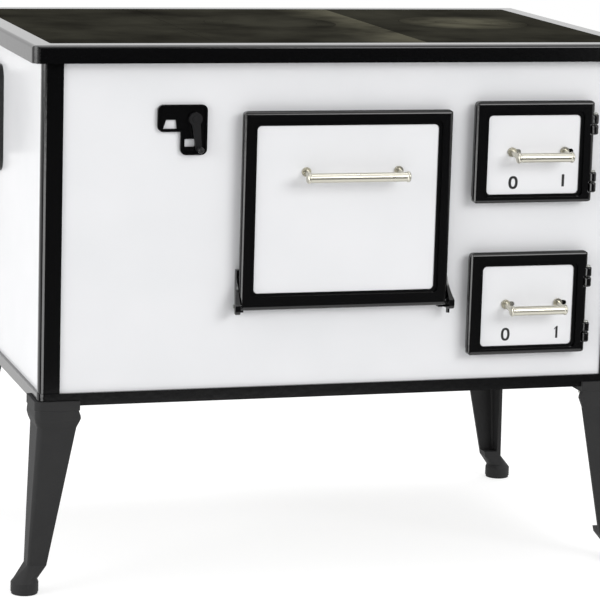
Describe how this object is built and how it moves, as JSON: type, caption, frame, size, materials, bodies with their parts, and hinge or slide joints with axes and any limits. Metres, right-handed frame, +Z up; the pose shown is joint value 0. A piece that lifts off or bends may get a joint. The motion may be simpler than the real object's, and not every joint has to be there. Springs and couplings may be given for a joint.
{
  "type": "cast iron range cooker",
  "caption": "Solid-fuel range cooker on cast legs: enamelled body, hinged oven, fire and ash doors with bow handles, ring hot plates, side flue spigot and a damper lever.",
  "frame": {"origin": "On the floor, under the middle of the whole outline with the flue spigot and handles", "axes": "+X to the cooker's right as seen from the front, +Y to its back, +Z up"},
  "size_m": [0.919, 0.5705, 0.7485],
  "materials": {
    "black_enamel": "gloss black stove enamel",
    "white_enamel": "gloss white stove enamel",
    "leg_iron": "matte dark cast iron",
    "hotplate_iron": "ground and seasoned cast iron, satin",
    "inner_iron": "bare cast iron",
    "fastener_steel": "zinc-plated steel",
    "sheet_steel": "bare sheet steel",
    "oven_enamel": "speckled grey oven enamel",
    "chrome": "polished chrome",
    "firebrick": "dry fireclay"
  },
  "bodies": {
    "cooker": {"base_frame": "black_enamel", "bottom_plate": "sheet_steel", "leg_front_left": "leg_iron", "leg_front_right": "leg_iron", "leg_rear_left": "leg_iron", "leg_rear_right": "leg_iron", "frame_bolts": "fastener_steel", "post_front_left": "black_enamel", "post_front_right": "black_enamel", "post_rear_left": "black_enamel", "post_rear_right": "black_enamel", "front_panel": "white_enamel", "left_panel": "white_enamel", "right_panel": "white_enamel", "back_panel": "sheet_steel", "top_frame": "black_enamel", "plate_bearers": "inner_iron", "hot_plate_left": "hotplate_iron", "hot_plate_middle": "hotplate_iron", "hot_plate_right": "hotplate_iron", "oven_surround": "black_enamel", "oven_box": "oven_enamel", "oven_runners": "sheet_steel", "oven_shelf": "chrome", "fire_surround": "black_enamel", "ash_surround": "black_enamel", "hinge_pins": "fastener_steel", "surround_screws": "fastener_steel", "firebox_casing": "inner_iron", "firebox_front": "inner_iron", "grate_frame": "inner_iron", "firebricks": "firebrick", "grate": "inner_iron", "ash_pan": "sheet_steel", "flue_baffle": "sheet_steel", "flue_box": "sheet_steel", "flue_collar": "black_enamel", "flue_collar_bolts": "fastener_steel", "damper_plate": "black_enamel"},
    "oven_door": {"oven_door_frame": "black_enamel", "oven_door_panel": "white_enamel", "oven_door_liner": "oven_enamel", "oven_door_handle": "chrome"},
    "fire_door": {"fire_door_frame": "black_enamel", "fire_door_panel": "white_enamel", "fire_door_baffle": "inner_iron"},
    "fire_slide": {"fire_door_handle": "chrome", "fire_air_slide": "sheet_steel"},
    "ash_door": {"ash_door_frame": "black_enamel", "ash_door_panel": "white_enamel"},
    "ash_slide": {"ash_door_handle": "chrome", "ash_air_slide": "sheet_steel"},
    "damper": {"damper_lever": "black_enamel", "damper_spindle": "fastener_steel", "damper_flap": "inner_iron"},
    "middle_ring": {"middle_ring": "hotplate_iron"},
    "middle_lid": {"middle_lid": "hotplate_iron"},
    "right_outer_ring": {"right_outer_ring": "hotplate_iron"},
    "right_inner_ring": {"right_inner_ring": "hotplate_iron"},
    "right_lid": {"right_lid": "hotplate_iron"}
  },
  "joints": [
    {"name": "oven_door_hinge", "type": "hinge", "parent": "cooker", "child": "oven_door", "pos_m": [0.007, -0.24775, 0.3925], "axis": [1, 0, 0], "range_deg": [0, 90]},
    {"name": "fire_door_hinge", "type": "hinge", "parent": "cooker", "child": "fire_door", "pos_m": [0.3655, -0.25075, 0.59925], "axis": [0, 0, 1], "range_deg": [0, 135]},
    {"name": "fire_air_slide", "type": "slide", "parent": "fire_door", "child": "fire_slide", "axis": [1, 0, 0], "range_m": [0, 0.01]},
    {"name": "ash_door_hinge", "type": "hinge", "parent": "cooker", "child": "ash_door", "pos_m": [0.3655, -0.25075, 0.38625], "axis": [0, 0, 1], "range_deg": [0, 135]},
    {"name": "ash_air_slide", "type": "slide", "parent": "ash_door", "child": "ash_slide", "axis": [1, 0, 0], "range_m": [0, 0.01]},
    {"name": "damper_turn", "type": "hinge", "parent": "cooker", "child": "damper", "pos_m": [-0.2065, -0.23375, 0.6485], "axis": [0, 1, 0], "range_deg": [0, 100]},
    {"name": "middle_ring_lift", "type": "slide", "parent": "cooker", "child": "middle_ring", "axis": [0, 0, 1], "range_m": [0, 0.1]},
    {"name": "middle_lid_lift", "type": "slide", "parent": "middle_ring", "child": "middle_lid", "axis": [0, 0, 1], "range_m": [0, 0.1]},
    {"name": "right_outer_ring_lift", "type": "slide", "parent": "cooker", "child": "right_outer_ring", "axis": [0, 0, 1], "range_m": [0, 0.1]},
    {"name": "right_inner_ring_lift", "type": "slide", "parent": "right_outer_ring", "child": "right_inner_ring", "axis": [0, 0, 1], "range_m": [0, 0.1]},
    {"name": "right_lid_lift", "type": "slide", "parent": "right_inner_ring", "child": "right_lid", "axis": [0, 0, 1], "range_m": [0, 0.1]}
  ]
}
